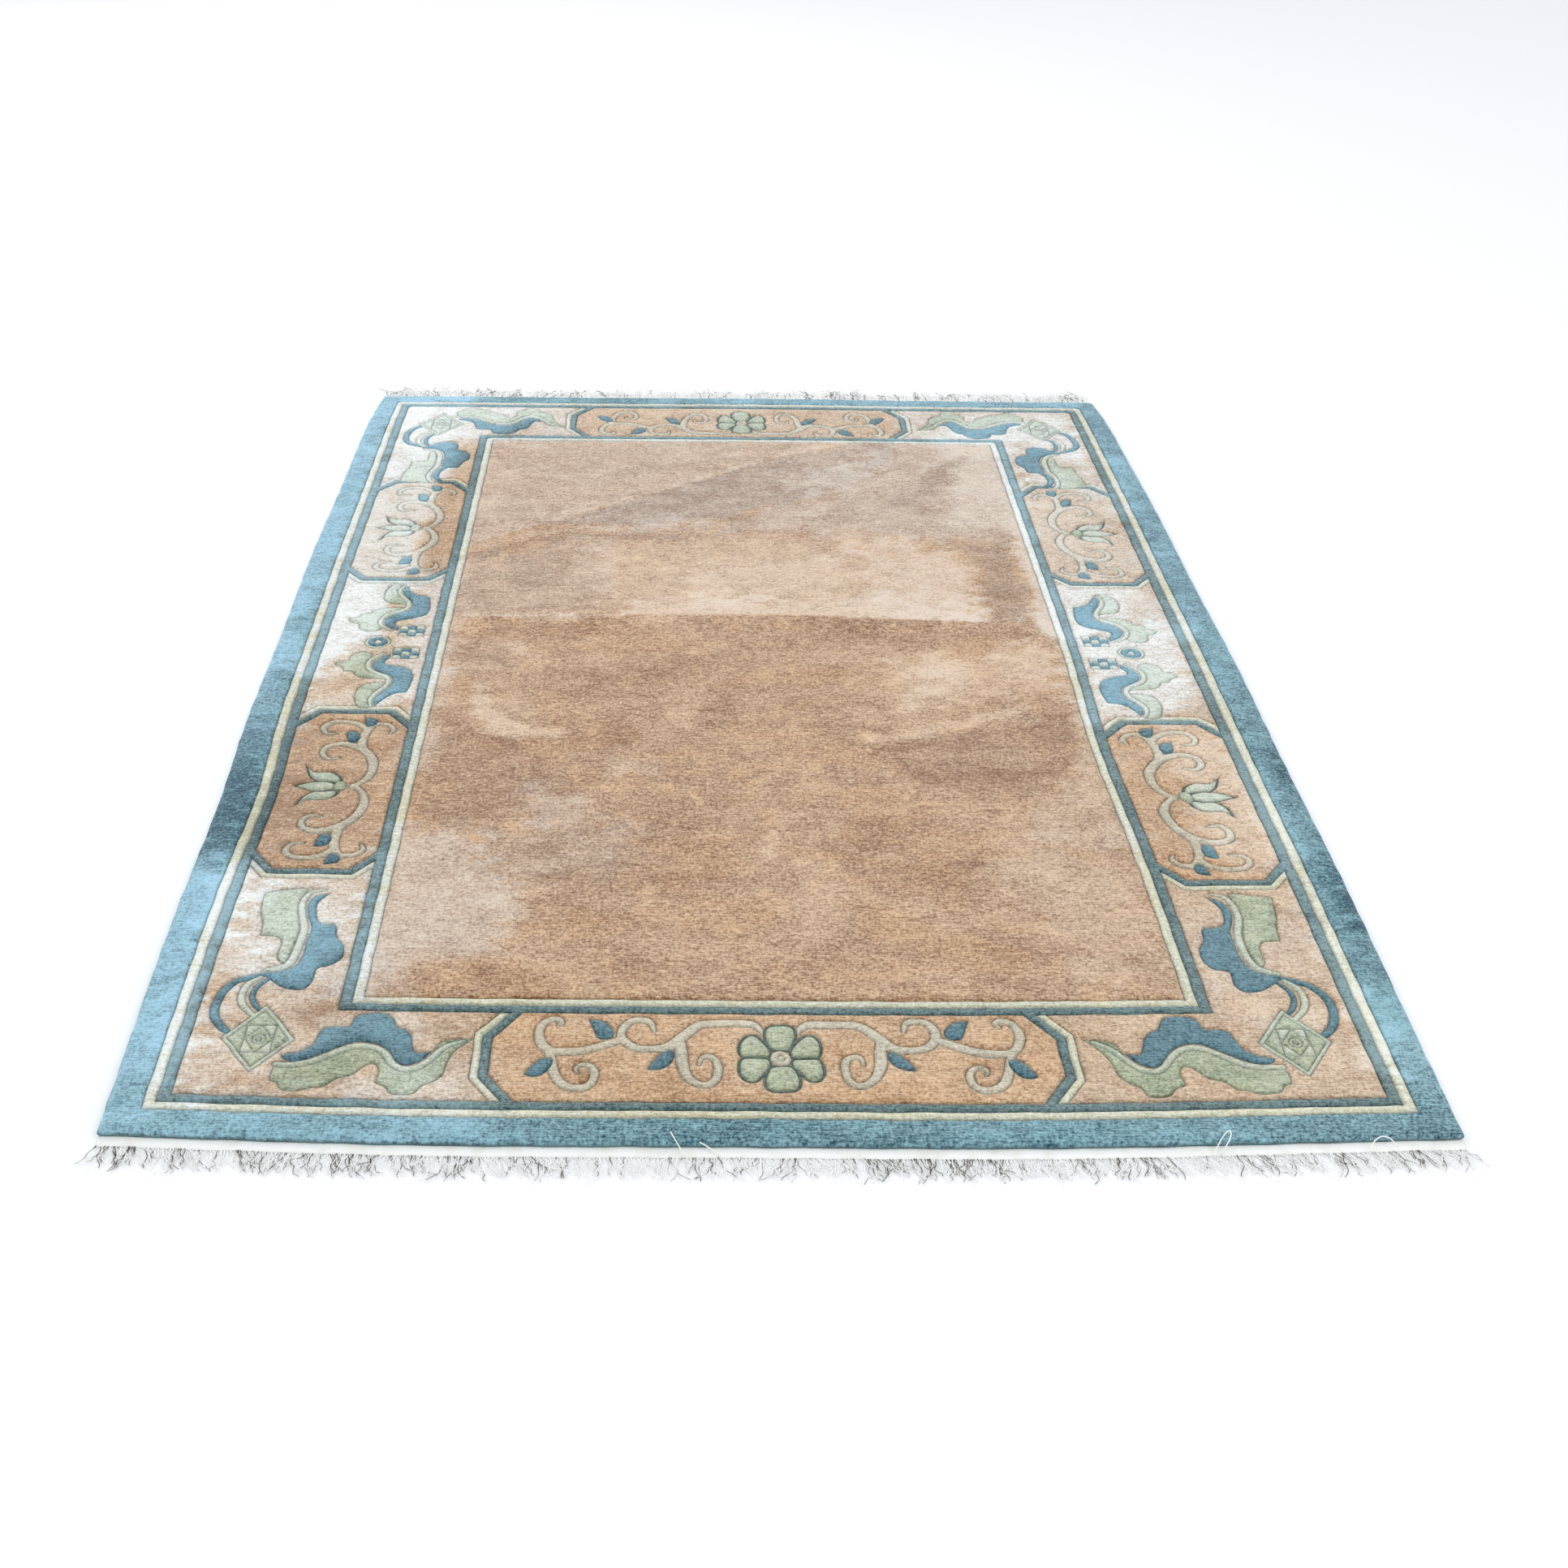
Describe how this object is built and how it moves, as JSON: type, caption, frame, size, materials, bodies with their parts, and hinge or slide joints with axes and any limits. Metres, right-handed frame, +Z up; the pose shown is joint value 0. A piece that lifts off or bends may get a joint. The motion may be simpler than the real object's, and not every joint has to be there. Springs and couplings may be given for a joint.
{
  "type": "chinese carpet",
  "caption": "Rectangular carved wool pile carpet with a plain field, a panelled scroll border, woven end bands and a short cotton fringe at both ends.",
  "frame": {"origin": "on the floor, at the middle of the carpet's underside", "axes": "+Y along the carpet's length from the near end to the far end, +X across it, +Z up out of the pile"},
  "size_m": [1.7307, 2.5601, 0.019],
  "materials": {
    "wool_pile": "carved cut wool pile in slate blue, cream, tan, peach and pale green",
    "cotton_warp": "undyed cotton, woven at the band and loosely plied in the strands"
  },
  "bodies": {
    "root": {"carpet": "wool_pile", "fringe_near": "cotton_warp", "fringe_far": "cotton_warp"}
  },
  "joints": []
}
